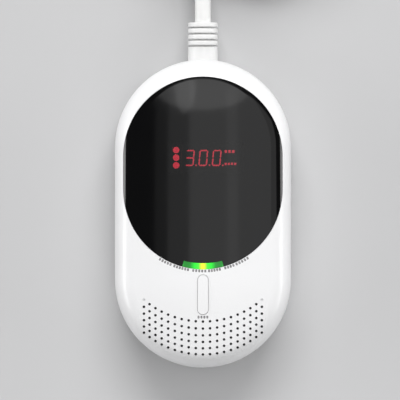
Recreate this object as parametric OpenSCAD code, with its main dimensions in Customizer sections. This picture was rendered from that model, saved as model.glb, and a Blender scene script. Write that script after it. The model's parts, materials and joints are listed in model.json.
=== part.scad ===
// Mains powered carbon monoxide detector with a flying lead, lying on its flat back.
// The origin is the centre of the back. +Z leaves the front face, +Y points to the lead.

/* [Case] */
// Width of the pill-shaped case
case_w = 70; // [68:0.5:74]
// Length of the case
case_len = 122.5; // [120:0.5:130]
// Height of the crown above the back
case_t = 30; // [29:0.5:34]
// Wall thickness of both shells
wall = 2; // [1.8:0.1:2.2]
// Height of the joint between the two shells
split_z = 9; // [8.8:0.1:9.4]
// Radius of the shallow crown across the front
crown_r = 136.25; // [120:0.25:150]
// Radius of the rounded front edge
corner_r = 10; // [9.5:0.5:11]
// Radius of the rear edge
rear_r = 3; // [2.5:0.5:3.5]

/* [Window] */
// Radius of the two round ends of the dark window
window_r = 31.6; // [30.5:0.1:32]
// Height of the upper window centre above the case centre
window_top_y = 22.7; // [22:0.1:23.5]
// Height of the lower window centre above the case centre
window_low_y = 9.55; // [9:0.05:10]
// Thickness of the window
window_t = 1.8; // [1.6:0.1:2]
// Radial width of the status light bar
bar_w = 2.4; // [2:0.1:3]
// Half of the angle that the light bar spans
bar_half_angle = 15; // [12:1:18]

/* [Display] */
// Height of a digit
digit_h = 6.4; // [5.8:0.1:6.6]
// Width of a digit
digit_w = 3.5; // [3:0.1:3.7]
// Distance between two digits
digit_pitch = 5.3; // [5:0.1:5.6]
// Thickness of a lit segment's stroke
stroke = 0.55; // [0.4:0.05:0.7]
// Diameter of the three level lamps
lamp_d = 2.4; // [2:0.1:2.6]

/* [Test button] */
// Width of the button
button_w = 4.2; // [3.8:0.1:4.6]
// Length of the button
button_len = 15.6; // [14:0.1:16]
// Height of the button's centre above the case centre
button_y = -32; // [-32.5:0.1:-31.5]
// Gap round the button
button_gap = 0.15; // [0.15:0.05:0.45]
// Travel of the button
button_travel = 0.6; // [0.4:0.1:0.8]

/* [Grille] */
// Diameter of a grille hole
hole_d = 1.05; // [0.8:0.05:1.2]
// Radius of the arc that each row follows
row_r = 36; // [34:0.5:38]
// Angle between neighbouring holes of a row
hole_step = 4.49; // [4.3:0.01:4.5]
// Rows of holes
rows = 6; // [3:1:6]

/* [Lead] */
// Diameter of the lead
cord_d = 6.4; // [6.2:0.1:6.4]
// Height of the lead where it leaves the case
cord_z = 9; // [8.8:0.1:9.4]
// Diameter of the strain relief
relief_d = 11.85; // [11:0.05:12]
// Length of the strain relief outside the case
relief_len = 14.95; // [14:0.05:16]

/* [Plug] */
// Width of the plug
plug_w = 35; // [34:0.5:36]
// Thickness of the plug
plug_t = 14; // [13:0.5:14]
// Distance between the pins
pin_pitch = 18.6; // [18:0.1:19]
// Diameter of a pin
pin_d = 4; // [3.8:0.1:4.1]
// Length of a pin
pin_len = 19; // [18:0.5:20]

/* [Hidden] */

$fn = 96;
eps = 0.01;
reach = 50.5; // longer than the window and the edge of the case's section

end_y = (case_len - case_w) / 2; // centre of a round end of the case
corner_x = case_w / 2 - corner_r;
crown_z = case_t - crown_r;
corner_z = crown_z + sqrt(pow(crown_r - corner_r, 2) - pow(corner_x, 2));
lean = atan2(corner_x, corner_z - crown_z); // tilt of the line where the crown meets the edge

tape_t = 0.2;
mask_t = 0.5;
deck_top = window_t + mask_t + tape_t; // depth of the deck that carries the window
deck_t = 1.5;
deck_low_z = 14;
fit_gap = 0.15; // gap round a piece that is fitted and glued
tongue_t = 1.05;
tongue_h = 1.5;
groove = 0.4; // shadow line round the joint

board_z = 6.5;
board_t = 1.6;
board_top = board_z + board_t;
board_r = 29.8;
small_board_z = 18.4;

opening_size = [23.4, 13.2]; // opening in the mask for the digits and their units
boss_r = 3.2; // screw bosses of the front shell
post_r = 4.2; // screw posts of the rear shell
standoff_r = 2.6;
pilot_r = 1.2; // holes that the case screws cut their thread in
shank_r = 1.65;
screw_head_r = 2.7;
screw_thread_r = 1.45;
board_pilot_r = 0.9;
board_screw_r = 1.1;
keyhole_r = 4.2;
keyhole_slot_r = 2.1;
keyhole_run = 7;
label_size = [29.8, 17.8];
label_y = 2;
label_t = 0.25;
label_pocket = 0.4;
bar_foot = 5.6; // height of the light bar's foot above the board
bar_gap = 0.08; // gap between the light bar and the window

screw_places = [[-28.3, -20], [28.3, -20], [-22, 44], [22, 44]];
board_screw_places = [[-26, 14], [26, 14], [0, -52.5], [-12, 47], [12, 47]];
keyhole_places = [[0, 32], [0, -28]];

display_x = 0.15; // middle of the middle digit and its point
display_y = 22.05;
module_top = 27;
lamp_x = -10.6;
lamp_pitch = 3;

sounder_place = [12.8, -41];
sounder_r = 11;
sensor_place = [-12.8, -42];
sensor_r = 10;
sensor_h = 9.4;
filter_r = 6.1;
transformer_place = [-13, -4];
core_size = [21, 8, 13.6];
coil_size = [16.2, 17, 8.2];
capacitor_places = [[6, 2], [16, 2]];
capacitor_r = 4;
capacitor_h = 12;
terminal_x = 2.4; // distance of each wire of the lead from the middle line
wire_z = board_top + 1.7;
wire_r = 1.2;
switch_top = board_top + 3.5;
plunger_top = switch_top + 1.4;

coil_centre = [21, 139];
coil_r = 36.4; // radius of the middle turns
turns_wide = 3;
turns_high = 2;
coil_top = turns_high * cord_d;
plug_end = [26.2, 112.7]; // where the lead enters the plug
plug_heading = 160;
plug_z = coil_top + plug_t / 2;
plug_len = 24;
plug_relief_len = 12;

// Route of the lead from the strain relief down to the coil.
lead_route = [
    [0, 76.2, 9], [0, 80, 9], [0, 83, 8.9], [0, 86, 8.6], [-0.4, 91, 7.6], [-1.6, 95.9, 6],
    [-3.5, 100.5, 4.4], [-6.1, 104.8, 3.5], [-9.3, 108.7, 3.2]
];
// Route of the lead from the top of the coil to the plug.
tail_route = [
    [51.3, 169.3, 9.6], [58.1, 160.4, 9.9], [62.3, 150.1, 10.9], [63.8, 139, 12.6],
    [62.4, 130.2, 14.4], [58.3, 122.3, 16.4], [51.9, 116.1, 17.9], [43.8, 112.2, 18.9],
    [35, 111, 19.6], [26.2, 112.7, 19.8]
];

// ---- Outlines and solids that several pieces share ----

// Half of the case's section: x is the distance from the middle line, y the height.
module half_section(inset, low) {
    intersection() {
        translate([0, crown_z]) circle(r = crown_r - inset, $fn = 360);
        polygon([
            [0, corner_z], [corner_x, corner_z],
            [corner_x + reach * sin(lean), corner_z + reach * cos(lean)],
            [0, corner_z + reach * cos(lean)]
        ]);
    }
    intersection() {
        translate([corner_x, corner_z]) circle(r = corner_r - inset);
        polygon([
            [corner_x, corner_z], [corner_x + reach, corner_z],
            [corner_x + reach, corner_z + reach],
            [corner_x + reach * sin(lean), corner_z + reach * cos(lean)]
        ]);
    }
    translate([0, low]) square([case_w / 2 - inset, corner_z - low]);
}

// Half of the rear tray's section, with its rounded rear edge.
module half_tray_section(inset, top) {
    edge_x = case_w / 2 - rear_r;
    translate([0, inset]) square([edge_x, top - inset]);
    translate([0, rear_r]) square([case_w / 2 - inset, top - rear_r]);
    intersection() {
        translate([edge_x, rear_r]) circle(r = rear_r - inset);
        translate([edge_x, 0]) square([rear_r, rear_r]);
    }
}

// Takes a half section along the straight sides and round both ends of the case.
module around_case() {
    rotate([90, 0, 0])
        linear_extrude(2 * end_y, center = true) {
            children();
            mirror([1, 0]) children();
        }
    translate([0, end_y, 0]) rotate_extrude(angle = 180) children();
    translate([0, -end_y, 0]) rotate([0, 0, 180]) rotate_extrude(angle = 180) children();
}

module domed(inset, low) {
    around_case() half_section(inset, low);
}

module pill_prism(r, low, high) {
    translate([0, 0, low])
        linear_extrude(high - low) {
            translate([0, end_y]) circle(r = r);
            translate([0, -end_y]) circle(r = r);
            square([2 * r, 2 * end_y], center = true);
        }
}

module window_outline(r) {
    intersection() {
        translate([0, window_top_y]) circle(r = r);
        translate([-reach, window_top_y]) square([2 * reach, reach]);
    }
    intersection() {
        translate([0, window_low_y]) circle(r = r);
        translate([-reach, window_low_y - reach]) square([2 * reach, reach]);
    }
    translate([-r, window_low_y]) square([2 * r, window_top_y - window_low_y]);
}

module window_prism(r, low = deck_low_z, high = case_t + 2) {
    translate([0, 0, low]) linear_extrude(high - low) window_outline(r);
}

// Ring sector along the lower edge of the window.
module bar_outline(grow) {
    outer_r = window_r - fit_gap + grow;
    span = reach * tan(bar_half_angle) + grow;
    translate([0, window_low_y])
        intersection() {
            difference() {
                circle(r = outer_r);
                circle(r = window_r - bar_w - grow);
            }
            polygon([[0, grow], [-span, -reach], [span, -reach]]);
        }
}

module pill_outline(w, len) {
    for (end = [-1, 1])
        translate([0, end * (len - w) / 2]) circle(d = w);
    square([w, len - w], center = true);
}

module button_prism(grow, low, high) {
    translate([0, button_y, low])
        linear_extrude(high - low)
            pill_outline(button_w + 2 * grow, button_len + 2 * grow);
}

// Openings for the lit display and the level lamps.
module display_openings() {
    translate([3, display_y, deck_low_z + 4])
        linear_extrude(reach) square(opening_size, center = true);
    lamp_row() translate([0, 0, deck_low_z]) cylinder(d = lamp_d + fit_gap, h = reach);
}

module lamp_row() {
    for (i = [-1, 0, 1])
        translate([lamp_x, display_y + 0.1 + i * lamp_pitch, 0]) children();
}

module at_places(places) {
    for (p = places)
        translate([p[0], p[1], 0]) children();
}

// One cylinder along Y from y0 to y1.
module bar_y(r, y0, y1) {
    translate([0, y0, 0]) rotate([-90, 0, 0]) cylinder(r = r, h = y1 - y0);
}

function row_y(k) = -42.67 - 2.83 * k + 0.043 * k * k;
function hole_at(i, k) = [
    row_r * sin(hole_step * i),
    row_y(k) + row_r * (1 - cos(hole_step * i))
];
function axis_distance(p) = norm([p[0], abs(p[1]) - end_y]);
function crown_height(p) =
    let (d = axis_distance(p))
    d < corner_x + corner_r * sin(lean)
        ? crown_z + sqrt(crown_r * crown_r - d * d)
        : corner_z + sqrt(corner_r * corner_r - pow(d - corner_x, 2));

// The grille: rows of straight holes, whose two upper corners are only dimples.
module grille_holes() {
    for (k = [0 : rows - 1], i = [-9 : 9]) {
        p = hole_at(i, k);
        dimple = k == 0 && abs(i) == 9;
        low = dimple ? crown_height(p) - 0.6 : split_z + 2;
        translate([p[0], p[1], low]) cylinder(d = hole_d, h = case_t, $fn = 24);
    }
}

// Sweeps a round tube through a list of points.
function unit(v) = v / norm(v);
function along(route, i) =
    let (last = len(route) - 1)
    unit(route[min(i + 1, last)] - route[max(i - 1, 0)]);
function ring_points(route, i, r, sides) =
    let (
        t = along(route, i),
        side = unit(cross(t, [0, 0, 1])),
        up = cross(side, t)
    )
    [for (s = [0 : sides - 1]) route[i] + r * (cos(360 * s / sides) * side
        + sin(360 * s / sides) * up)];
module swept_tube(route, r, sides) {
    n = len(route);
    points = [for (i = [0 : n - 1]) each ring_points(route, i, r, sides)];
    walls = [
        for (i = [0 : n - 2], s = [0 : sides - 1])
            let (a = i * sides + s, b = i * sides + (s + 1) % sides)
            [a, a + sides, b + sides, b]
    ];
    start = [for (s = [0 : sides - 1]) s];
    finish = [for (s = [sides - 1 : -1 : 0]) (n - 1) * sides + s];
    polyhedron(points, concat(walls, [start], [finish]), convexity = 8);
}

// ---- Shells and window ----

module front_shell() {
    color("whitesmoke")
    difference() {
        union() {
            difference() {
                domed(0, split_z);
                domed(wall, split_z - 1);
            }
            intersection() {
                difference() {
                    domed(wall - 0.5, deck_low_z);
                    domed(deck_top + deck_t, deck_low_z - 1);
                }
                window_prism(window_r + 1.2);
            }
            intersection() {
                at_places(screw_places) translate([0, 0, split_z + 0.05])
                    cylinder(r = boss_r, h = case_t);
                domed(wall - 0.5, split_z);
            }
            difference() {
                intersection() {
                    button_prism(button_gap + 1, 24.4, case_t);
                    domed(wall - 0.5, split_z);
                }
                button_prism(button_gap, 20, case_t);
            }
        }
        difference() {
            window_prism(window_r);
            domed(deck_top, deck_low_z - 1);
        }
        display_openings();
        translate([0, 0, deck_low_z]) linear_extrude(reach) bar_outline(fit_gap);
        button_prism(button_gap, 20, case_t + 2);
        grille_holes();
        at_places(screw_places) cylinder(r = pilot_r, h = split_z + 9);
        translate([0, 0, cord_z]) bar_y(relief_d / 2 + 0.1, 50, case_len / 2 + 2);
    }
}

module rear_shell() {
    color("gainsboro")
    difference() {
        union() {
            difference() {
                around_case() half_tray_section(0, split_z);
                around_case() half_tray_section(wall, split_z + 1);
            }
            difference() {
                pill_prism(case_w / 2 - wall - fit_gap, split_z - 2, split_z + tongue_h);
                pill_prism(case_w / 2 - wall - fit_gap - tongue_t, 0, split_z + 3);
                translate([-8, 50, split_z - 3]) cube([16, 15, 8]);
                at_places(screw_places) cylinder(r = 3.5, h = reach);
            }
            at_places(screw_places) translate([0, 0, 1]) cylinder(r = post_r, h = split_z - 1);
            at_places(board_screw_places) translate([0, 0, 1])
                cylinder(r = standoff_r, h = board_z - 1);
        }
        difference() {
            pill_prism(case_w / 2 + 1, split_z - groove, split_z + eps);
            pill_prism(case_w / 2 - groove, split_z - 1, split_z + 1);
        }
        at_places(screw_places) {
            translate([0, 0, -1]) cylinder(r = screw_head_r + 0.2, h = 5.5);
            cylinder(r = shank_r, h = reach);
        }
        at_places(board_screw_places) translate([0, 0, 2.8]) cylinder(r = board_pilot_r, h = reach);
        at_places(keyhole_places) translate([0, 0, -1]) linear_extrude(wall + 2) {
            circle(r = keyhole_r);
            translate([0, keyhole_run]) circle(r = keyhole_slot_r);
            translate([-keyhole_slot_r, 0]) square([2 * keyhole_slot_r, keyhole_run]);
        }
        translate([0, label_y, -1])
            linear_extrude(1 + label_pocket)
                square([label_size[0] + 0.6, label_size[1] + 0.6], center = true);
        translate([0, 0, cord_z]) bar_y(relief_d / 2 + 0.1, 50, case_len / 2 + 2);
    }
}

module display_window() {
    color([0.06, 0.06, 0.07])
    difference() {
        intersection() {
            difference() {
                domed(0, deck_low_z);
                domed(window_t, deck_low_z - 1);
            }
            window_prism(window_r - fit_gap);
        }
        translate([0, 0, deck_low_z]) linear_extrude(reach) bar_outline(bar_gap);
    }
}

module display_mask() {
    color([0.02, 0.02, 0.02])
    difference() {
        intersection() {
            difference() {
                domed(window_t, deck_low_z);
                domed(window_t + mask_t, deck_low_z - 1);
            }
            window_prism(window_r - fit_gap);
        }
        display_openings();
        translate([0, 0, deck_low_z]) linear_extrude(reach) bar_outline(bar_gap);
    }
}

module window_tape() {
    color("dimgray")
    difference() {
        intersection() {
            difference() {
                domed(window_t + mask_t, deck_low_z);
                domed(deck_top, deck_low_z - 1);
            }
            window_prism(window_r - fit_gap - 0.3);
        }
        window_prism(window_r - 3);
        linear_extrude(reach) bar_outline(fit_gap);
    }
}

module light_bar() {
    color("limegreen")
    intersection() {
        domed(0.1, split_z);
        translate([0, 0, board_top + bar_foot]) linear_extrude(reach) bar_outline(0);
    }
}

module dust_mesh() {
    margin = 1.5;
    side_x = hole_at(9, 0)[0] + margin;
    color("gray")
    intersection() {
        difference() {
            domed(wall + 0.05, split_z);
            domed(wall + 0.35, split_z - 1);
        }
        translate([0, 0, split_z + 5])
            linear_extrude(case_t)
                difference() {
                    intersection() {
                        translate([0, row_y(rows - 1) + row_r]) circle(r = row_r + margin);
                        translate([-side_x, -reach - end_y]) square([2 * side_x, reach]);
                    }
                    translate([0, row_y(0) + row_r]) circle(r = row_r - margin);
                }
    }
}

// ---- Test button and its switch ----

module test_button() {
    color("whitesmoke") {
        intersection() {
            button_prism(0, 24, case_t + 2);
            domed(-0.25, split_z);
        }
        translate([0, button_y, 23]) linear_extrude(1.2)
            pill_outline(button_w + 1.6, button_len + 1.6);
        translate([0, button_y, plunger_top + 0.1]) cylinder(r = 1.7, h = 24 - plunger_top - 0.1);
        translate([-0.5, button_y - 5, 20]) cube([1, 10, 3.5]);
    }
}

module switch_body() {
    color("darkslategray")
    difference() {
        translate([-3, button_y - 3, board_top]) cube([6, 6, switch_top - board_top]);
        translate([0, button_y, board_top + 1]) cylinder(r = 1.83, h = 10);
    }
}

module switch_plunger() {
    color("saddlebrown")
    translate([0, button_y, board_top + 1 + button_travel + 0.3])
        cylinder(r = 1.75, h = plunger_top - board_top - 1 - button_travel - 0.3);
}

// ---- Boards and what stands on them ----

module main_board() {
    color("darkgreen")
    difference() {
        pill_prism(board_r, board_z, board_top);
        at_places(screw_places) translate([0, 0, -1]) cylinder(r = 4.8, h = reach);
        at_places(board_screw_places) cylinder(r = 1.3, h = reach);
    }
}

module display_board() {
    color("darkgreen")
    translate([-15, 12, small_board_z]) cube([32.5, 20, board_t]);
}

module board_header() {
    color("dimgray")
    for (x = [-14, 14.5])
        translate([x, 15, board_top]) cube([2.5, 14, small_board_z - board_top]);
}

module display_module() {
    low = small_board_z + board_t;
    color("dimgray")
    translate([-8.2, display_y - 6.2, low]) cube([22.4, 12.4, module_top - low]);
}

// A stroke with pointed ends, as on a seven-segment digit.
module segment(len) {
    h = stroke / 2;
    e = len / 2;
    polygon([[-e, 0], [-e + h, h], [e - h, h], [e, 0], [e - h, -h], [-e + h, -h]]);
}

module seven_segments(lit) {
    half = digit_h / 2 - stroke / 2;
    side = digit_w / 2 - stroke / 2;
    gap = 0.12;
    places = [
        [0, half, 0], [side, half / 2, 90], [side, -half / 2, 90], [0, -half, 0],
        [-side, -half / 2, 90], [-side, half / 2, 90], [0, 0, 0]
    ];
    for (s = lit) {
        p = places[s];
        long = p[2] == 0 ? 2 * side : half;
        translate([p[0], p[1]]) rotate(p[2]) segment(long - gap);
    }
}

module display_digits() {
    three = [0, 1, 2, 3, 6];
    zero = [0, 1, 2, 3, 4, 5];
    slant = tan(5);
    shown = [three, zero, zero];
    color("red")
    translate([display_x, display_y, module_top])
        linear_extrude(0.15) {
            for (d = [0 : 2])
                translate([(d - 1) * digit_pitch, 0])
                    multmatrix([[1, slant, 0, 0], [0, 1, 0, 0], [0, 0, 1, 0]])
                        seven_segments(shown[d]);
            for (d = [0 : 2])
                translate([(d - 1) * digit_pitch + 2.45, -digit_h / 2 + 0.3])
                    circle(r = 0.33, $fn = 24);
        }
}

module unit_bars() {
    color("red")
    translate([8.6, display_y, module_top])
        linear_extrude(0.15) {
            for (i = [0 : 2])
                translate([i * 1.45, 2]) square([1, 1.1]);
            for (i = [0 : 3])
                translate([i * 1.25, -2.8]) square([0.8, 0.9]);
        }
}

module level_lamps() {
    low = small_board_z + board_t;
    color("red")
    lamp_row() translate([0, 0, low]) {
        cylinder(d = lamp_d, h = module_top - low);
        cylinder(d = lamp_d + 0.4, h = 1);
    }
}

// A small lamp: flanged foot, round body and domed top.
module led(x) {
    r = 1.5;
    translate([x, window_low_y - window_r + bar_w / 2 + 0.1, board_top]) {
        cylinder(r = r + 0.3, h = 1);
        cylinder(r = r, h = 3.8);
        translate([0, 0, 3.8]) intersection() {
            sphere(r = r);
            cylinder(r = r + 1, h = r + 1);
        }
    }
}

module power_led() {
    color("green") led(-5);
}

module fault_led() {
    color("gold") led(0);
}

module alarm_led() {
    color("firebrick") led(5);
}

module sounder_case() {
    color([0.12, 0.12, 0.12])
    translate([sounder_place[0], sounder_place[1], board_top])
        difference() {
            cylinder(r = sounder_r, h = 9);
            translate([0, 0, 1]) cylinder(r = sounder_r - 1, h = 7);
            cylinder(r = 2.5, h = 20);
        }
}

module sounder_disc() {
    color("goldenrod")
    translate([sounder_place[0], sounder_place[1], board_top + 4])
        cylinder(r = sounder_r - 1, h = 0.3);
}

module gas_sensor() {
    color("silver")
    translate([sensor_place[0], sensor_place[1], board_top]) {
        cylinder(r = sensor_r, h = sensor_h);
        cylinder(r = sensor_r + 0.4, h = 1);
    }
}

module sensor_cap() {
    color("white")
    translate([sensor_place[0], sensor_place[1], board_top + sensor_h])
        difference() {
            cylinder(r = sensor_r - 0.8, h = 2);
            translate([0, 0, -1]) cylinder(r = filter_r + 0.1, h = 5);
        }
}

module sensor_filter() {
    color("dimgray")
    translate([sensor_place[0], sensor_place[1], board_top + sensor_h])
        cylinder(r = filter_r, h = 1.2);
}

module transformer_core() {
    color("slategray")
    translate([transformer_place[0], transformer_place[1], board_top + core_size[2] / 2])
        difference() {
            cube(core_size, center = true);
            for (side = [-1, 1])
                translate([side * 5.9, 0, 0]) cube([4.6, 9, 8.4], center = true);
        }
}

module transformer_coil() {
    color("khaki")
    translate([transformer_place[0], transformer_place[1], board_top + core_size[2] / 2])
        difference() {
            cube(coil_size, center = true);
            cube([7.4, 8.2, 9], center = true);
            for (side = [-1, 1])
                translate([side * 10.25, 0, 0]) cube([4.4, 8.2, 9], center = true);
        }
}

module smoothing_capacitors() {
    color("navy")
    at_places(capacitor_places) translate([0, 0, board_top]) {
        cylinder(r = capacitor_r - 0.2, h = 1.2);
        cylinder(r = capacitor_r, h = 0.8);
        translate([0, 0, 1.2]) cylinder(r = capacitor_r, h = capacitor_h - 1.2);
    }
}

module filter_capacitor() {
    color("goldenrod")
    translate([5.5, 34.5, board_top]) cube([13, 6, 11]);
}

module fuse() {
    color("saddlebrown")
    translate([-4.6, 38, board_top]) {
        cylinder(r = 4.2, h = 7.6);
        cylinder(r = 3.6, h = 8.2);
    }
}

module varistor() {
    color("steelblue")
    translate([-15.4, 36.4, board_top + 5.3]) {
        bar_y(5, 0, 3.6);
        for (x = [-2.5, 2.5])
            translate([x - 0.4, 1.4, -5.3]) cube([0.8, 0.8, 2]);
    }
}

module terminal_block() {
    color("seagreen")
    translate([0, 47, board_top])
        difference() {
            translate([-5.25, -4, 0]) cube([10.5, 8, 9]);
            for (x = [-terminal_x, terminal_x]) {
                translate([x, 0, wire_z - board_top]) bar_y(wire_r + 0.3, 0, 10);
                translate([x, -0.5, 3.5]) cylinder(r = 1.8, h = 10);
            }
        }
}

module terminal_screws() {
    color("silver")
    for (x = [-terminal_x, terminal_x])
        translate([x, 46.5, board_top + 3.5])
            difference() {
                cylinder(r = 1.7, h = 4);
                translate([-0.25, -3, 3.4]) cube([0.5, 6, 2]);
            }
}

module controller_chip() {
    color([0.15, 0.15, 0.15])
    translate([-3, 17, board_top]) cube([10, 10, 1.5]);
}

module regulator() {
    color([0.15, 0.15, 0.15])
    translate([4, -12, board_top]) {
        cube([9, 7, 2.4]);
        translate([1, -2.5, 0]) cube([7, 12, 0.8]);
    }
}

module core_wire(x) {
    translate([x, 0, wire_z]) bar_y(wire_r, 48, 56.2);
}

module live_core() {
    color("sienna") core_wire(-terminal_x);
}

module neutral_core() {
    color("royalblue") core_wire(terminal_x);
}

// ---- Screws and label ----

module case_screws() {
    color("silver")
    at_places(screw_places)
        difference() {
            union() {
                translate([0, 0, 2.6]) cylinder(r = screw_head_r, h = 1.9);
                translate([0, 0, 4.4]) cylinder(r = screw_thread_r, h = 12);
            }
            for (a = [0, 90])
                rotate([0, 0, a]) translate([-0.35, -1.6, 2]) cube([0.7, 3.2, 1.6]);
        }
}

module board_screws() {
    color("silver")
    at_places(board_screw_places)
        difference() {
            union() {
                translate([0, 0, board_top]) cylinder(r = 2 * board_screw_r, h = 1.4);
                translate([0, 0, 3.4]) cylinder(r = board_screw_r, h = board_top - 3);
            }
            for (a = [0, 90])
                rotate([0, 0, a]) translate([-0.3, -1.2, board_top + 0.7]) cube([0.6, 2.4, 2]);
        }
}

module rating_label() {
    color("white")
    translate([0, label_y, label_pocket - label_t])
        linear_extrude(label_t) square(label_size, center = true);
}

// ---- Lead, coil and plug ----

// Half section of the strain relief: x is the radius, y the distance from the case.
module relief_section() {
    r = relief_d / 2;
    rib_pitch = 2.45;
    slit = 0.6;
    round_r = 0.5;
    neck = 5.2;
    inner = case_len / 2 - 56.2;
    translate([0, -inner]) square([r + 0.9, 2]);
    translate([0, -inner]) square([r, inner + neck]);
    square([r - 1.9, relief_len]);
    for (i = [0 : 3])
        translate([0, neck + slit + i * rib_pitch]) {
            h = min(rib_pitch - slit, relief_len - neck - slit - i * rib_pitch);
            square([r - round_r, h]);
            translate([0, round_r]) square([r, h - 2 * round_r]);
            for (y = [round_r, h - round_r])
                translate([r - round_r, y]) circle(r = round_r, $fn = 24);
        }
}

module strain_relief() {
    color("whitesmoke")
    translate([0, case_len / 2, cord_z])
        rotate([-90, 0, 0])
            rotate_extrude() relief_section();
}

module cord_lead() {
    color("whitesmoke") swept_tube(lead_route, cord_d / 2, 12);
}

module cord_coil() {
    width = turns_wide * cord_d;
    color("whitesmoke")
    translate([coil_centre[0], coil_centre[1], 0])
        rotate_extrude()
            translate([coil_r - width / 2, 0]) square([width, coil_top]);
}

module cord_tail() {
    color("whitesmoke") swept_tube(tail_route, cord_d / 2, 12);
}

module cord_tie() {
    band = 0.8;
    width = turns_wide * cord_d;
    color("dimgray")
    translate([coil_centre[0], coil_centre[1] + coil_r, coil_top / 2])
        difference() {
            cube([12, width + 2 * band, coil_top + 2 * band], center = true);
            cube([13, width - 0.4, coil_top - 0.4], center = true);
            translate([-10, -20, -20 - coil_top / 2]) cube([20, 40, 20]);
        }
}

module at_plug() {
    translate([plug_end[0], plug_end[1], plug_z])
        rotate([0, 0, plug_heading]) children();
}

module plug_body() {
    grip_x = plug_relief_len;
    edge = 3;
    color("whitesmoke")
    at_plug() {
        hull() {
            for (y = [-1, 1], z = [-1, 1]) {
                translate([grip_x + edge, y * 6, z * (plug_t / 2 - edge)])
                    sphere(r = edge, $fn = 32);
                translate([grip_x + 12, y * (plug_w / 2 - edge), z * (plug_t / 2 - edge)])
                    sphere(r = edge, $fn = 32);
                translate([grip_x + plug_len - 1, y * (plug_w / 2 - edge), z * (plug_t / 2 - edge)])
                    rotate([0, 90, 0]) cylinder(r = edge, h = 1, $fn = 32);
            }
        }
        rotate([0, 90, 0]) rotate_extrude() {
            polygon([[0, 0], [4.1, 0], [5.6, grip_x + 2], [0, grip_x + 2]]);
            for (i = [0 : 2])
                translate([0, 1 + 3.6 * i]) square([5.1 + 0.3 * i, 2.4]);
        }
    }
}

module plug_pins() {
    tip = 1.2;
    color("silver")
    at_plug()
        for (side = [-1, 1])
            translate([plug_relief_len + plug_len, side * pin_pitch / 2, 0])
                rotate([0, 90, 0]) {
                    cylinder(d = pin_d, h = pin_len - tip);
                    translate([0, 0, pin_len - tip])
                        cylinder(d1 = pin_d, d2 = pin_d - 2 * tip, h = tip);
                }
}

front_shell();
rear_shell();
display_window();
display_mask();
window_tape();
light_bar();
test_button();
switch_body();
switch_plunger();
dust_mesh();
main_board();
display_board();
board_header();
display_module();
display_digits();
level_lamps();
unit_bars();
power_led();
fault_led();
alarm_led();
sounder_case();
sounder_disc();
gas_sensor();
sensor_cap();
sensor_filter();
transformer_core();
transformer_coil();
smoothing_capacitors();
filter_capacitor();
fuse();
varistor();
terminal_block();
terminal_screws();
controller_chip();
regulator();
live_core();
neutral_core();
case_screws();
board_screws();
rating_label();
strain_relief();
cord_lead();
cord_coil();
cord_tail();
cord_tie();
plug_body();
plug_pins();
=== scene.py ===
# Looks for the mains powered carbon monoxide detector. Metres, in the frame of the CAD model.
import json
import math

import bmesh
import bpy
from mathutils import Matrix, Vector
from mathutils.bvhtree import BVHTree


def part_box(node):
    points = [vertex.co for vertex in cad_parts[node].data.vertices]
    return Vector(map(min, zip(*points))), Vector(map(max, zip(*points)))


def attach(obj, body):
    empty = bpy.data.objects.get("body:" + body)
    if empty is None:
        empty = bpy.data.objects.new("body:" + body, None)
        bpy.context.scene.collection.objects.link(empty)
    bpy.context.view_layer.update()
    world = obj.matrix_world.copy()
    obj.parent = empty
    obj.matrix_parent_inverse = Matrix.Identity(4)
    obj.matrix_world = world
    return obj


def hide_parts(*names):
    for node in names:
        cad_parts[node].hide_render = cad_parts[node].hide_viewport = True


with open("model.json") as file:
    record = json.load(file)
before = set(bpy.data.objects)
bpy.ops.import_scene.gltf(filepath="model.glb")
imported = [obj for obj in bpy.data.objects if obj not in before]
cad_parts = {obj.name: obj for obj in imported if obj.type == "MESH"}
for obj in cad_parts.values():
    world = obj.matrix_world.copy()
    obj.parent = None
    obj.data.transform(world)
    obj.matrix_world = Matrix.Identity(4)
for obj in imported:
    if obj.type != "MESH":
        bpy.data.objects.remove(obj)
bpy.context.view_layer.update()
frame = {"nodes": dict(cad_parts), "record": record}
NODES = frame["nodes"]
MM = 0.001

CASE_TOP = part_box("front_shell")[1].z
WINDOW_LOW, WINDOW_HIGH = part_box("display_window")
LOWER_CENTRE_Y = WINDOW_LOW.y + (WINDOW_HIGH.x - WINDOW_LOW.x) / 2


def link(obj):
    bpy.context.scene.collection.objects.link(obj)
    return obj


# ---------------------------------------------------------------- camera
CAMERA_PLACE = (-0.00115, 0.0054, 2.017)
SENSOR = 36.0  # mm, as Blender takes it
VIEW_WIDTH = 0.1591  # what the picture covers at the height of the shell's rim
RIM_Z = 0.017
CLIP = (0.05, 50)

camera_data = bpy.data.cameras.new("camera")
camera_data.sensor_width = SENSOR
camera_data.lens = SENSOR * (CAMERA_PLACE[2] - RIM_Z) / VIEW_WIDTH
camera_data.clip_start, camera_data.clip_end = CLIP
camera = link(bpy.data.objects.new("camera", camera_data))
camera.location = CAMERA_PLACE
bpy.context.scene.camera = camera

# ---------------------------------------------------------------- cord
CORD_D = 0.0064
# The free ends of the lead, in mm: from the relief to the coil, and from the coil to the plug.
LEAD_ROUTE = [
    (0, 76.2, 9), (0, 80, 9), (0, 83, 8.9), (0, 86, 8.6), (-0.4, 91, 7.6),
    (-1.6, 95.9, 6), (-3.5, 100.5, 4.4), (-6.1, 104.8, 3.5),
]
TAIL_ROUTE = [
    (54.9, 165.1, 9.65), (58.1, 160.4, 9.9), (62.3, 150.1, 10.9), (63.8, 139, 12.6),
    (62.4, 130.2, 14.4), (58.3, 122.3, 16.4), (51.9, 116.1, 17.9), (43.8, 112.2, 18.9),
    (35, 111, 19.6), (26.2, 112.7, 19.8),
]
# The coil, in mm and degrees: the lead is laid clockwise, inwards on the floor, then outwards on top.
COIL_CENTRE = (21, 139)
COIL_RADII = (42.8, 36.35, 29.9)  # outer, middle and inner turns
COIL_HEIGHTS = (3.2, 9.6)
COIL_START = 225
COIL_SWEEP = 1980
COIL_STEP = 10
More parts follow.
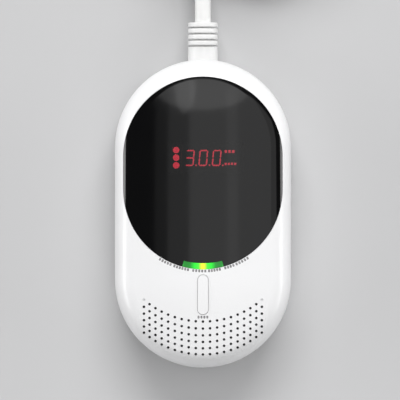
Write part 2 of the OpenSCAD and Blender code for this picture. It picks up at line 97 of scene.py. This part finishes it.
# From angle, to angle, change: the places where the lead moves to the next turn.
RADIUS_MOVES = [
    (295, 360, COIL_RADII[1] - COIL_RADII[0]), (625, 716, COIL_RADII[2] - COIL_RADII[1]),
    (1295, 1386, COIL_RADII[1] - COIL_RADII[2]), (1650, 1730, COIL_RADII[0] - COIL_RADII[1]),
]
HEIGHT_MOVES = [(967, 1043, COIL_HEIGHTS[1] - COIL_HEIGHTS[0])]
TUBE_STEPS = 3  # along the tube, between two points of its route
TUBE_ROUNDNESS = 5  # Blender's bevel resolution


def after_moves(value, moves, angle):
    """The value once every move up to this angle is made, each one eased in and out."""
    for first, last, change in moves:
        share = min(max((angle - first) / (last - first), 0), 1)
        value += change * (1 - math.cos(math.pi * share)) / 2
    return value


def coil_point(angle):
    """A point of the coil, at an angle travelled from its start."""
    radius = after_moves(COIL_RADII[0], RADIUS_MOVES, angle)
    height = after_moves(COIL_HEIGHTS[0], HEIGHT_MOVES, angle)
    turn = math.radians(COIL_START - angle)
    x = COIL_CENTRE[0] + radius * math.cos(turn)
    y = COIL_CENTRE[1] + radius * math.sin(turn)
    return (x, y, height)


def evaluated_mesh(obj):
    """The object's shape as a mesh of its own, curves and modifiers worked out."""
    bpy.context.view_layer.update()
    return bpy.data.meshes.new_from_object(obj.evaluated_get(bpy.context.evaluated_depsgraph_get()))


def tube(name, points_mm, diameter):
    """A smooth round tube through the points, and the line in its middle."""
    data = bpy.data.curves.new(name + "_line", "CURVE")
    data.dimensions = "3D"
    data.use_fill_caps = True
    data.resolution_u = TUBE_STEPS
    spline = data.splines.new("NURBS")
    spline.points.add(len(points_mm) - 1)
    for target, at in zip(spline.points, points_mm):
        target.co = [v * MM for v in at] + [1]
    spline.order_u = 4
    spline.use_endpoint_u = True
    line = link(bpy.data.objects.new(name + "_line", data))
    middle = evaluated_mesh(line)
    path = [tuple(v.co) for v in middle.vertices]
    data.bevel_depth = diameter / 2
    data.bevel_resolution = TUBE_ROUNDNESS
    mesh = evaluated_mesh(line)
    for face in mesh.polygons:
        face.use_smooth = len(face.vertices) == 4
    bpy.data.objects.remove(line)
    bpy.data.meshes.remove(middle)
    mesh.name = name
    return link(bpy.data.objects.new(name, mesh)), path


coil_points = [coil_point(a) for a in range(0, COIL_SWEEP + 1, COIL_STEP)]
cord, cord_path = tube("mains_cord", LEAD_ROUTE + coil_points + TAIL_ROUTE, CORD_D)
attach(cord, "case")
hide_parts("cord_lead", "cord_coil", "cord_tail")

# ---------------------------------------------------------------- strap round the coil
# Sizes in mm, angles in degrees.
STRAP_T = 0.8
STRAP_W = 12
STRAP_POINTS = 8  # in each stretch
STRAP_SPAN = 7.5  # steps to a stretch, so that its last point stays short of the next one's first
STRAP_BEVEL = 0.3  # of its thickness
SHARP_ANGLE = 50  # edges sharper than this are bevelled
# The strap's middle goes round the corners of the coil, at this distance from the lead's middle.
gap = CORD_D / MM / 2 + STRAP_T / 2
strap_path = []
for radius, height, first, last in (
    (COIL_RADII[0], COIL_HEIGHTS[0], -45, 0), (COIL_RADII[0], COIL_HEIGHTS[1], 0, 90),
    (COIL_RADII[2], COIL_HEIGHTS[1], 90, 180), (COIL_RADII[2], COIL_HEIGHTS[0], 180, 225),
):
    for k in range(STRAP_POINTS):
        turn = math.radians(first + (last - first) * k / STRAP_SPAN)
        strap_path.append((radius + gap * math.cos(turn), height + gap * math.sin(turn)))


def strip_mesh(name, path, centre, width, thick):
    """A band round a closed path of (distance from the coil's centre along +Y, height) in mm."""
    mesh = bpy.data.meshes.new(name)
    bm = bmesh.new()
    rings = []
    for i, (r, z) in enumerate(path):
        before = path[i - 1]
        after = path[(i + 1) % len(path)]
        way = Vector((after[0] - before[0], after[1] - before[1])).normalized()
        out = Vector((way.y, -way.x)) * thick / 2
        ring = []
        for side, face in ((-1, -1), (1, -1), (1, 1), (-1, 1)):
            x = centre[0] + side * width / 2
            y = centre[1] + r + face * out.x
            ring.append(bm.verts.new((x * MM, y * MM, (z + face * out.y) * MM)))
        rings.append(ring)
    for a, b in zip(rings, rings[1:] + rings[:1]):
        for k in range(4):
            bm.faces.new((a[k], a[(k + 1) % 4], b[(k + 1) % 4], b[k]))
    bmesh.ops.recalc_face_normals(bm, faces=bm.faces)
    bm.to_mesh(mesh)
    bm.free()
    obj = link(bpy.data.objects.new(name, mesh))
    bevel = obj.modifiers.new("soft_edges", "BEVEL")
    bevel.width = thick * STRAP_BEVEL * MM
    bevel.segments = 2
    bevel.limit_method = "ANGLE"
    bevel.angle_limit = math.radians(SHARP_ANGLE)
    return obj


strap = strip_mesh("cord_strap", strap_path, COIL_CENTRE, STRAP_W, STRAP_T)
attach(strap, "case")
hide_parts("cord_tie")

# ---------------------------------------------------------------- materials
NOISE_RANGE = (0.3, 0.7)  # nearly all of a noise texture's values lie in it
GLOSS_FINER = 3.1  # how much finer the gloss varies than the colour
GRAIN_DETAIL = 4.0
WAVE_PERIOD = math.tau / 20  # of Blender's wave texture at scale 1
BLACK, WHITE = (0, 0, 0), (1, 1, 1)


def new_material(name):
    material = bpy.data.materials.new(name)
    material.use_nodes = True
    tree = material.node_tree
    return material, tree, tree.nodes["Principled BSDF"]


def node(tree, kind, **settings):
    """A new node. Each setting is one of its inputs, or else a property."""
    made = tree.nodes.new(kind)
    for key, value in settings.items():
        if key in made.inputs:
            made.inputs[key].default_value = value
        else:
            setattr(made, key, value)
    return made


def place(tree, scale=(1, 1, 1)):
    """Object coordinates, stretched along the axes."""
    source = node(tree, "ShaderNodeTexCoord")
    stretch = node(tree, "ShaderNodeMapping", Scale=scale)
    tree.links.new(source.outputs["Object"], stretch.inputs["Vector"])
    return stretch.outputs["Vector"]


def object_axes(tree):
    """The X, Y and Z of object coordinates, in metres, as sockets."""
    source = node(tree, "ShaderNodeTexCoord")
    parts = node(tree, "ShaderNodeSeparateXYZ")
    tree.links.new(source.outputs["Object"], parts.inputs["Vector"])
    return parts.outputs


def noise(tree, vector, scale, detail=3.0):
    made = node(tree, "ShaderNodeTexNoise", Scale=scale, Detail=detail)
    tree.links.new(vector, made.inputs["Vector"])
    return made.outputs["Fac"]


def ramp(tree, value, stops):
    """Colour from a value, by (position, colour) stops."""
    made = node(tree, "ShaderNodeValToRGB")
    steps = made.color_ramp.elements
    while len(steps) < len(stops):
        steps.new(0.5)
    for step, (at, colour) in zip(steps, stops):
        step.position = at
        step.color = (*colour, 1)
    tree.links.new(value, made.inputs["Fac"])
    return made.outputs["Color"]


def spread(tree, value, low, high):
    """A noise value moved to another range."""
    made = node(tree, "ShaderNodeMapRange")
    made.inputs["From Min"].default_value, made.inputs["From Max"].default_value = NOISE_RANGE
    made.inputs["To Min"].default_value = low
    made.inputs["To Max"].default_value = high
    tree.links.new(value, made.inputs["Value"])
    return made.outputs["Result"]


def bump(tree, shader, height, strength, depth):
    """Relief, added to what the shader already has."""
    made = node(tree, "ShaderNodeBump", Strength=strength, Distance=depth)
    tree.links.new(height, made.inputs["Height"])
    earlier = shader.inputs["Normal"]
    if earlier.is_linked:
        tree.links.new(earlier.links[0].from_socket, made.inputs["Normal"])
    tree.links.new(made.outputs["Normal"], earlier)


def tint(colour, factor):
    return tuple(min(max(c * factor, 0), 1) for c in colour)


def finish(
    name, colour, rough, metal=0.0, vary=0.05, vary_scale=90, grain=1500, grain_depth=0.00003,
    grain_strength=0.3, stretch=(1, 1, 1), rough_vary=0.06, **sockets
):
    """A surface with soft colour variation, fine grain and uneven gloss."""
    material, tree, shader = new_material(name)
    vector = place(tree, stretch)
    clouds = noise(tree, vector, vary_scale)
    stops = list(zip(NOISE_RANGE, (tint(colour, 1 - vary), tint(colour, 1 + vary))))
    tree.links.new(ramp(tree, clouds, stops), shader.inputs["Base Color"])
    patches = noise(tree, vector, vary_scale * GLOSS_FINER)
    uneven = spread(tree, patches, rough - rough_vary, rough + rough_vary)
    tree.links.new(uneven, shader.inputs["Roughness"])
    bump(tree, shader, noise(tree, vector, grain, GRAIN_DETAIL), grain_strength, grain_depth)
    shader.inputs["Metallic"].default_value = metal
    for key, value in sockets.items():
        shader.inputs[key].default_value = value
    return material, tree, shader


def plain(name, colour, rough, **options):
    return finish(name, colour, rough, **options)[0]


def bands(tree, axis, pitch):
    """Even lines across one axis, pitch in metres."""
    made = node(tree, "ShaderNodeTexWave", bands_direction=axis, Scale=1.0)
    tree.links.new(place(tree, (WAVE_PERIOD / pitch,) * 3), made.inputs["Vector"])
    return made.outputs["Fac"]


# The mix node's sockets when it mixes colours.
MIX_SHARE, MIX_FIRST, MIX_SECOND, MIX_RESULT = 0, 6, 7, 2


def mixed(tree, share, first, second, mode="MIX"):
    """Two colours mixed. The share and both colours may be sockets or plain values."""
    made = node(tree, "ShaderNodeMix", data_type="RGBA", blend_type=mode)
    for key, value in ((MIX_SHARE, share), (MIX_FIRST, first), (MIX_SECOND, second)):
        if isinstance(value, bpy.types.NodeSocket):
            tree.links.new(value, made.inputs[key])
        elif key == MIX_SHARE:
            made.inputs[key].default_value = value
        else:
            made.inputs[key].default_value = (*value, 1)
    return made.outputs[MIX_RESULT]


def arithmetic(tree, operation, *values):
    """One arithmetic operation on sockets and plain values."""
    made = node(tree, "ShaderNodeMath", operation=operation)
    for socket, value in zip(made.inputs, values):
        if isinstance(value, bpy.types.NodeSocket):
            tree.links.new(value, socket)
        else:
            socket.default_value = value
    return made.outputs[0]


def base_link(shader):
    """What drives the base colour so far."""
    return shader.inputs["Base Color"].links[0].from_socket


def recolour(tree, shader, share, colour, mode="MIX"):
    """Mix one more colour, a socket or a plain value, into the base colour."""
    tree.links.new(mixed(tree, share, base_link(shader), colour, mode), shader.inputs["Base Color"])


def wear(tree, shader, colour, strength):
    """Slightly different colour on the sharp edges, where parts rub."""
    shape = node(tree, "ShaderNodeNewGeometry")
    edge = ramp(tree, shape.outputs["Pointiness"], [(0.52, BLACK), (0.6, WHITE)])
    recolour(tree, shader, arithmetic(tree, "MULTIPLY", edge, strength), colour)


def shell_white():
    """Smooth moulded plastic with a slight gloss."""
    return plain(
        "shell_white", (0.84, 0.84, 0.845), 0.3, vary=0.004, vary_scale=25, grain=2600,
        grain_depth=0.000006, grain_strength=0.15, rough_vary=0.02,
        **{"Coat Weight": 0.15, "Coat Roughness": 0.15},
    )


def tray_white():
    """The back's coarser plastic, duller on its edges."""
    material, tree, shader = finish(
        "tray_white", (0.78, 0.78, 0.78), 0.5, vary=0.02, vary_scale=60, grain=1700,
        grain_depth=0.00003, grain_strength=0.5,
    )
    wear(tree, shader, (0.72, 0.72, 0.71), 0.25)
    return material


# Part of the window in front of the lit display, and a margin round it, that lets light through.
LAMPS_LOW, LAMPS_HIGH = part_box("level_lamps")
BARS_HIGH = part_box("unit_bars")[1]
CLEAR_LOW = (LAMPS_LOW.x - 0.8 * MM, LAMPS_LOW.y - 0.75 * MM)
CLEAR_HIGH = (BARS_HIGH.x + 1.85 * MM, LAMPS_HIGH.y + 0.65 * MM)
CLEAR_FADE = 1.6 * MM
CLEAR_ALPHA = 0.91
CLEAR_PAINTED_GLOW = 0.0035  # painted glow: the window itself glows faintly here, standing in for the display's stray light in the smoked plastic
DISPLAY_GLOW = 54.0  # bright, because both faces of the window dim it


def window_black():
    """Glossy smoked plastic, opaque but for the part in front of the display, where a faint painted
    glow stands in for the display's stray light.
    """
    material, tree, shader = finish(
        "window_black", (0.002, 0.002, 0.0022), 0.085, vary=0.1, vary_scale=50, grain=120,
        grain_depth=0.00004, grain_strength=0.05, rough_vary=0.012,
    )
    across = object_axes(tree)
    inside = None
    for axis in (0, 1):
        centre = (CLEAR_LOW[axis] + CLEAR_HIGH[axis]) / 2
        half = (CLEAR_HIGH[axis] - CLEAR_LOW[axis]) / 2
        off = arithmetic(tree, "SUBTRACT", across[axis], centre)
        away = arithmetic(tree, "SUBTRACT", arithmetic(tree, "ABSOLUTE", off), half)
        share = arithmetic(tree, "SUBTRACT", 1.0, arithmetic(tree, "DIVIDE", away, CLEAR_FADE))
        clamped = arithmetic(tree, "MINIMUM", arithmetic(tree, "MAXIMUM", share, 0.0), 1.0)
        inside = clamped if inside is None else arithmetic(tree, "MULTIPLY", inside, clamped)
    alpha = arithmetic(tree, "SUBTRACT", 1.0, arithmetic(tree, "MULTIPLY", inside, 1 - CLEAR_ALPHA))
    tree.links.new(alpha, shader.inputs["Alpha"])
    # Painted glow: the clear part of the window emits a faint light of its own, though it is no lamp.
    tree.links.new(inside, shader.inputs["Emission Color"])
    shader.inputs["Emission Strength"].default_value = CLEAR_PAINTED_GLOW
    return material


def bar_green():
    """The status lamp: yellow-green in the middle, green, then dark green at its ends."""
    material, tree, shader = finish(
        "bar_green", (0.02, 0.3, 0.03), 0.16, vary=0.1, vary_scale=300, grain=900,
        grain_depth=0.00002, grain_strength=0.15,
    )
    half_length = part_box("light_bar")[1].x
    along = arithmetic(
        tree, "DIVIDE", arithmetic(tree, "ABSOLUTE", object_axes(tree)["X"]), half_length
    )
    glow = ramp(tree, along, [
        (0.0, (0.80, 0.95, 0.02)), (0.09, (0.55, 0.93, 0.02)), (0.2, (0.06, 0.80, 0.03)),
        (0.36, (0.01, 0.62, 0.02)), (0.52, (0.005, 0.30, 0.015)), (0.62, (0.004, 0.11, 0.012)),
        (0.8, (0.004, 0.075, 0.010)), (0.93, (0.004, 0.10, 0.012)), (0.97, (0.03, 0.22, 0.04)),
    ])
    tree.links.new(glow, shader.inputs["Emission Color"])
    shader.inputs["Emission Strength"].default_value = 1.0
    recolour(tree, shader, 0.5, glow)
    return material


def lit_red():
    """Red light with a slightly uneven hue."""
    material, tree, shader = finish(
        "digit_red", (0.5, 0.02, 0.03), 0.3, vary=0.08, vary_scale=700, grain=1500,
        grain_depth=0.00001, grain_strength=0.1,
    )
    hues = zip(NOISE_RANGE, ((1.0, 0.035, 0.075), (1.0, 0.065, 0.11)))
    glow = ramp(tree, noise(tree, place(tree), 420), list(hues))
    tree.links.new(glow, shader.inputs["Emission Color"])
    shader.inputs["Emission Strength"].default_value = DISPLAY_GLOW
    return material


def lamp(name, colour, strength):
    """A coloured plastic lamp."""
    material, tree, shader = finish(
        name, colour, 0.12, vary=0.08, vary_scale=500, grain=900, grain_depth=0.00001,
        grain_strength=0.1,
    )
    shader.inputs["Emission Color"].default_value = (*colour, 1)
    shader.inputs["Emission Strength"].default_value = strength
    return material


WIRE_PITCH = 0.3 * MM
SHEET_PITCH = 0.5 * MM
TAPE_PITCH = 1.1 * MM
RIB_PITCH = 0.7 * MM
CAN_TOP = 0.3 * MM  # thickness of the bare top
CAN_STRIPE = 1.2 * MM


def mesh_steel():
    """Fine woven wire cloth."""
    material, tree, shader = finish(
        "mesh_steel", (0.10, 0.10, 0.105), 0.45, metal=0.7, vary=0.1, vary_scale=200,
    )
    warp, weft = bands(tree, "X", WIRE_PITCH), bands(tree, "Y", WIRE_PITCH)
    wires = arithmetic(tree, "MAXIMUM", warp, weft)
    dark = ramp(tree, wires, [(0.55, (0.12, 0.12, 0.12)), (0.85, WHITE)])
    recolour(tree, shader, 1.0, dark, "MULTIPLY")
    bump(tree, shader, wires, 0.7, 0.00008)
    return material


def board_green():
    """Solder resist over copper runs, with a few bare pads."""
    material, tree, shader = finish(
        "board_green", (0.012, 0.13, 0.05), 0.28, vary=0.1, vary_scale=60, grain=900,
        grain_strength=0.15,
    )
    cells = node(
        tree, "ShaderNodeTexVoronoi", distance="MANHATTAN", feature="DISTANCE_TO_EDGE", Scale=260.0
    )
    tree.links.new(place(tree), cells.inputs["Vector"])
    runs = ramp(tree, cells.outputs["Distance"], [(0.05, (0.5, 0.5, 0.5)), (0.09, WHITE)])
    recolour(tree, shader, 1.0, runs, "MULTIPLY")
    pads = node(tree, "ShaderNodeTexVoronoi", Scale=190.0, Randomness=0.35)
    tree.links.new(place(tree), pads.inputs["Vector"])
    bare = ramp(tree, pads.outputs["Distance"], [(0.10, WHITE), (0.13, BLACK)])
    recolour(tree, shader, bare, (0.62, 0.60, 0.55))
    bump(tree, shader, cells.outputs["Distance"], 0.2, 0.00003)
    return material


def core_steel():
    """Stacked laminations."""
    material, tree, shader = finish(
        "core_steel", (0.2, 0.2, 0.21), 0.42, metal=0.85, vary=0.15, vary_scale=260,
    )
    sheets = bands(tree, "Y", SHEET_PITCH)
    dark = ramp(tree, sheets, [(0.1, (0.35, 0.35, 0.35)), (0.5, WHITE)])
    recolour(tree, shader, 1.0, dark, "MULTIPLY")
    bump(tree, shader, sheets, 0.6, 0.0001)
    return material


def coil_tape():
    """Layers of yellow tape, their edges showing as fine lines."""
    material, tree, shader = finish(
        "coil_tape", (0.72, 0.52, 0.10), 0.3, vary=0.1, vary_scale=220, grain=700,
    )
    layers = bands(tree, "Z", TAPE_PITCH)
    dark = ramp(tree, layers, [(0.05, (0.6, 0.6, 0.6)), (0.25, WHITE)])
    recolour(tree, shader, 1.0, dark, "MULTIPLY")
    bump(tree, shader, layers, 0.4, 0.00006)
    return material


def can_blue():
    """A dark sleeve with a pale stripe, and a bare aluminium top."""
    material, tree, shader = finish(
        "can_blue", (0.02, 0.03, 0.14), 0.25, vary=0.1, vary_scale=200, grain=500,
    )
    low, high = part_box("smoothing_capacitors")
    axes = object_axes(tree)
    top = arithmetic(tree, "GREATER_THAN", axes["Z"], high.z - CAN_TOP)
    recolour(tree, shader, top, (0.6, 0.6, 0.62))
    stripe = arithmetic(tree, "LESS_THAN", axes["Y"], low.y + CAN_STRIPE)
    recolour(tree, shader, stripe, (0.5, 0.52, 0.6))
    return material


def cord_white():
    """Soft white sheath with a fine grain and a little dust."""
    return plain(
        "cord_white", (0.80, 0.80, 0.79), 0.42, vary=0.03, vary_scale=120, grain=1400,
        grain_depth=0.00003, grain_strength=0.35, **{"Sheen Weight": 0.15},
    )


def tie_black():
    """Woven hook and loop strap with a fuzzy face."""
    material, tree, shader = finish(
        "tie_black", (0.02, 0.02, 0.022), 0.85, vary=0.4, vary_scale=900, grain=3500,
        grain_depth=0.0002, grain_strength=0.8, **{"Sheen Weight": 0.5, "Sheen Roughness": 0.5},
    )
    bump(tree, shader, bands(tree, "X", RIB_PITCH), 0.5, 0.00012)
    return material


LABEL_MARGIN_X = (2.5 * MM, 9 * MM)  # to the ruled area, at its low and high side
LABEL_MARGIN_Y = (3 * MM, 3 * MM)


def label_white():
    """A blank silver-white label with a ruled frame and plain grey rules, no lettering."""
    material, tree, shader = finish(
        "label_white", (0.80, 0.80, 0.79), 0.38, vary=0.02, vary_scale=200, grain=900,
    )
    low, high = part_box("rating_label")
    rules = node(tree, "ShaderNodeTexBrick", offset=0.37, squash=1.0)
    for key, value in (
        ("Scale", 1.0), ("Mortar Size", 0.00055), ("Mortar Smooth", 0.0), ("Bias", -0.7),
        ("Brick Width", 0.0062), ("Row Height", 0.0016),
    ):
        rules.inputs[key].default_value = value
    rules.inputs["Color1"].default_value = (0.25, 0.25, 0.26, 1)
    rules.inputs["Color2"].default_value = (0.45, 0.45, 0.46, 1)
    rules.inputs["Mortar"].default_value = (0.80, 0.80, 0.79, 1)
    tree.links.new(place(tree), rules.inputs["Vector"])
    across = object_axes(tree)
    inside = None
    for axis, (margin_low, margin_high) in enumerate((LABEL_MARGIN_X, LABEL_MARGIN_Y)):
        over = arithmetic(tree, "GREATER_THAN", across[axis], low[axis] + margin_low)
        under = arithmetic(tree, "LESS_THAN", across[axis], high[axis] - margin_high)
        both = arithmetic(tree, "MULTIPLY", over, under)
        inside = both if inside is None else arithmetic(tree, "MULTIPLY", inside, both)
    recolour(tree, shader, inside, rules.outputs["Color"])
    return material


STEEL = {"metal": 1.0, "vary": 0.08, "vary_scale": 300, "grain": 900, "grain_depth": 0.00002}
MATERIALS = {
    "shell_white": shell_white(),
    "tray_white": tray_white(),
    "window_black": window_black(),
    "mask_black": plain("mask_black", (0.006, 0.006, 0.006), 0.7, vary=0.3),
    "tape_grey": plain(
        "tape_grey", (0.05, 0.05, 0.05), 0.9, grain=2500, grain_depth=0.0001, vary=0.3
    ),
    "bar_green": bar_green(),
    "switch_black": plain("switch_black", (0.018, 0.018, 0.019), 0.45, vary=0.2),
    "plunger_brown": plain("plunger_brown", (0.12, 0.04, 0.015), 0.4, vary=0.1),
    "mesh_steel": mesh_steel(),
    "board_green": board_green(),
    "header_black": plain("header_black", (0.015, 0.015, 0.015), 0.4, vary=0.2),
    "module_grey": plain("module_grey", (0.012, 0.012, 0.013), 0.5, vary=0.2),
    "digit_red": lit_red(),
    "led_green": lamp("led_green", (0.05, 0.6, 0.08), 0.6),
    "led_yellow": lamp("led_yellow", (0.7, 0.5, 0.03), 0.3),
    "led_red": lamp("led_red", (0.55, 0.02, 0.02), 0.05),
    "disc_brass": plain("disc_brass", (0.72, 0.5, 0.2), 0.3, **STEEL),
    "sensor_steel": plain("sensor_steel", (0.55, 0.55, 0.56), 0.28, stretch=(1, 1, 12), **STEEL),
    "filter_grey": plain(
        "filter_grey", (0.09, 0.09, 0.09), 0.9, grain=3000, grain_depth=0.0002, grain_strength=0.9
    ),
    "core_steel": core_steel(),
    "coil_tape": coil_tape(),
    "can_blue": can_blue(),
    "film_yellow": plain("film_yellow", (0.75, 0.42, 0.03), 0.25, vary=0.06),
    "fuse_brown": plain("fuse_brown", (0.09, 0.03, 0.015), 0.35, vary=0.15),
    "disc_blue": plain(
        "disc_blue", (0.02, 0.09, 0.32), 0.35, vary=0.15, grain=400, grain_depth=0.0002
    ),
    "terminal_green": plain("terminal_green", (0.02, 0.2, 0.06), 0.42, vary=0.1),
    "screw_steel": plain("screw_steel", (0.5, 0.5, 0.52), 0.22, **STEEL),
    "chip_black": plain("chip_black", (0.014, 0.014, 0.015), 0.55, vary=0.2, grain_strength=0.6),
    "wire_brown": plain("wire_brown", (0.09, 0.03, 0.012), 0.45, vary=0.1),
    "wire_blue": plain("wire_blue", (0.012, 0.06, 0.32), 0.45, vary=0.1),
    "label_white": label_white(),
    "relief_white": plain(
        "relief_white", (0.79, 0.79, 0.785), 0.4, vary=0.02, grain_strength=0.4, rough_vary=0.05
    ),
    "cord_white": cord_white(),
    "tie_black": tie_black(),
    "pin_steel": plain("pin_steel", (0.62, 0.61, 0.58), 0.2, **STEEL),
}


def wear_material(obj, slot_name):
    """Give the object the one material of its slot."""
    obj.data.materials.clear()
    obj.data.materials.append(MATERIALS[slot_name])


for part in frame["record"]["subparts"]:
    wear_material(NODES[part["node"]], part["material_slot"])
wear_material(cord, "cord_white")
wear_material(strap, "tie_black")

# ---------------------------------------------------------------- printed marks
# Plain ticks stand where the real alarm has small printed words.
def skin_of(cad_node):
    """A CAD node's faces, for ray casts."""
    mesh = cad_node.data
    return BVHTree.FromPolygons([v.co for v in mesh.vertices], [p.vertices for p in mesh.polygons])


SHELL_SKIN = skin_of(NODES["front_shell"])
DOWN = Vector((0, 0, -1))
ABOVE = 0.1  # where the rays start, over everything


def surface_z(x, y):
    """The height of the front shell's face at a point."""
    hit = SHELL_SKIN.ray_cast(Vector((x, y, ABOVE)), DOWN)[0]
    return hit.z if hit else CASE_TOP


CORNER_STEPS = 3


def rounded_outline(width, height, corner):
    """A rectangle with round corners, about the origin."""
    points = []
    for sx, sy, first in ((1, 1, 0), (-1, 1, 90), (-1, -1, 180), (1, -1, 270)):
        for k in range(CORNER_STEPS + 1):
            turn = math.radians(first + 90 * k / CORNER_STEPS)
            x = sx * (width / 2 - corner) + corner * math.cos(turn)
            y = sy * (height / 2 - corner) + corner * math.sin(turn)
            points.append((x, y))
    return points


INK_OVER = 0.02 * MM  # above the shell's face
INK_UNDER = 0.03 * MM
TICK_W = 0.78 * MM
TICK_H = 1.1 * MM
TICK_CORNER = 0.35 * TICK_W
LEGEND_R = 33.3 * MM
BUTTON_TICKS = 4
BUTTON_TICKS_Y = -40.9 * MM
BUTTON_TICKS_STEP = 1.15 * MM
# Degrees from straight down, for each group of ticks: first, last.
LEGEND_GROUPS = [(-30.6, -22.6), (-19.8, -10.2), (-6.6, 1.6), (4.2, 11.6), (15.4, 21.2), (23.6, 32.0)]
TICK_STEP = 2.0  # degrees

ticks = []
for first, last in LEGEND_GROUPS:
    count = round((last - first) / TICK_STEP)
    for k in range(count + 1):
        angle = math.radians(first + (last - first) * k / count)
        x = LEGEND_R * math.sin(angle)
        y = LOWER_CENTRE_Y - LEGEND_R * math.cos(angle)
        ticks.append((x, y, angle))
for k in range(BUTTON_TICKS):
    ticks.append(((k - (BUTTON_TICKS - 1) / 2) * BUTTON_TICKS_STEP, BUTTON_TICKS_Y, 0.0))

ink = bmesh.new()
for x, y, angle in ticks:
    top, foot = [], []
    for u, v in rounded_outline(TICK_W, TICK_H, TICK_CORNER):
        px = x + u * math.cos(angle) - v * math.sin(angle)
        py = y + u * math.sin(angle) + v * math.cos(angle)
        z = surface_z(px, py)
        top.append(ink.verts.new((px, py, z + INK_OVER)))
        foot.append(ink.verts.new((px, py, z - INK_UNDER)))
    ink.faces.new(top)
    ink.faces.new(list(reversed(foot)))
    for k in range(len(top)):
        n = (k + 1) % len(top)
        ink.faces.new((top[k], foot[k], foot[n], top[n]))
ink_mesh = bpy.data.meshes.new("printed_ticks")
ink.to_mesh(ink_mesh)
ink.free()
marks = link(bpy.data.objects.new("printed_ticks", ink_mesh))
marks.data.materials.append(plain("ink_grey", (0.24, 0.235, 0.24), 0.5, vary=0.25, vary_scale=700))
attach(marks, "case")

# ---------------------------------------------------------------- floor and light
FLOOR_HALF = 6.0
FLOOR_Z = -0.2 * MM
floor_mesh = bpy.data.meshes.new("floor")
floor_mesh.from_pydata(
    [(x * FLOOR_HALF, y * FLOOR_HALF, FLOOR_Z) for x, y in ((-1, -1), (1, -1), (1, 1), (-1, 1))],
    [], [(0, 1, 2, 3)],
)
floor = link(bpy.data.objects.new("floor", floor_mesh))
floor.data.materials.append(
    plain("floor_pale", (0.55, 0.55, 0.555), 0.8, vary=0.01, vary_scale=6, grain=300)
)


def softbox(name, at, aim, size, radiance, shape="RECTANGLE"):
    """A flat lamp at a point, turned to another, of an even brightness."""
    data = bpy.data.lights.new(name, "AREA")
    data.shape = shape
    data.size, data.size_y = size
    area = size[0] * size[1] * (1 if shape == "RECTANGLE" else math.pi / 4)
    data.energy = radiance * math.pi * area
    box = link(bpy.data.objects.new(name, data))
    box.location = at
    box.rotation_euler = (Vector(aim) - Vector(at)).to_track_quat("-Z", "Y").to_euler()
    box.visible_camera = False


# Name, place, aim, size in metres, radiance.
# The window mirrors the overhead ones: dim on the left, even on the right, bright at the top.
softbox("overhead", (0.45, -0.1, 2.4), (0.45, -0.1, 0), (1.3, 2.4), 0.85)
softbox("overhead_right", (1.85, -0.1, 2.4), (1.85, -0.1, 0), (1.5, 2.4), 0.6)
softbox("overhead_soft", (-0.36, -0.1, 2.4), (-0.36, -0.1, 0), (0.32, 2.4), 0.45)
softbox("overhead_dim", (-0.62, -0.1, 2.4), (-0.62, -0.1, 0), (0.2, 2.4), 0.16)
softbox("overhead_streak", (0.42, -0.2, 2.3), (0.42, -0.2, 0), (0.16, 2.2), 0.22)
softbox("overhead_top", (0.0, 1.0, 2.35), (0.0, 1.0, 0), (1.5, 0.8), 0.75, "ELLIPSE")
softbox("overhead_patch", (-0.26, 0.92, 2.3), (-0.26, 0.92, 0), (0.3, 0.75), 0.9, "ELLIPSE")
softbox("key", (0.1, 2.3, 2.0), (0, 0, 0), (2.6, 1.4), 7.5)
softbox("near_fill", (0, -2.3, 2.1), (0, 0, 0), (2.4, 1.0), 3.2)
softbox("left", (-2.3, 0.2, 0.58), (0, 0, 0), (2.4, 0.6), 5.4)
softbox("right", (2.3, 0.2, 0.56), (0, 0, 0), (2.4, 0.6), 4.2)

world = bpy.data.worlds.new("studio")
world.use_nodes = True
background = world.node_tree.nodes["Background"]
background.inputs["Color"].default_value = (0.86, 0.87, 0.9, 1)
background.inputs["Strength"].default_value = 0.07
bpy.context.scene.world = world
bpy.context.scene.view_settings.view_transform = "Standard"
